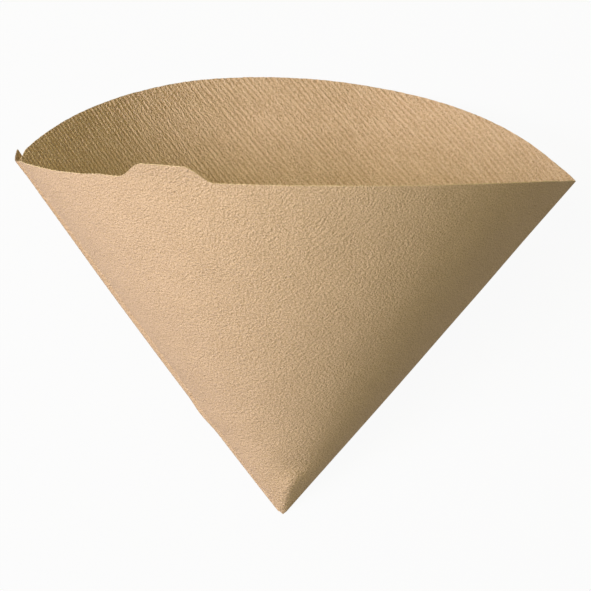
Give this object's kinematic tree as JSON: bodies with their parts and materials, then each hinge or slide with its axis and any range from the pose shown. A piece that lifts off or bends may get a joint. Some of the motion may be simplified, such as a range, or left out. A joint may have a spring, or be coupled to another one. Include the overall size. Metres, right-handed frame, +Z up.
{
  "type": "paper coffee filter",
  "caption": "Cone-shaped unbleached paper coffee filter, opened, with a folded edge, a crimped seam and a finger tab on the rim.",
  "frame": {"origin": "middle of the foot of the bounding box, on the surface the filter lies on", "axes": "+X from the crimped seam to the fold, +Y from the tip towards the mouth, +Z up from the back panel to the front panel"},
  "size_m": [0.1496, 0.125, 0.0968],
  "materials": {
    "filter_paper": "matte unbleached crepe paper"
  },
  "bodies": {
    "root": {"paper_filter": "filter_paper"}
  },
  "joints": []
}
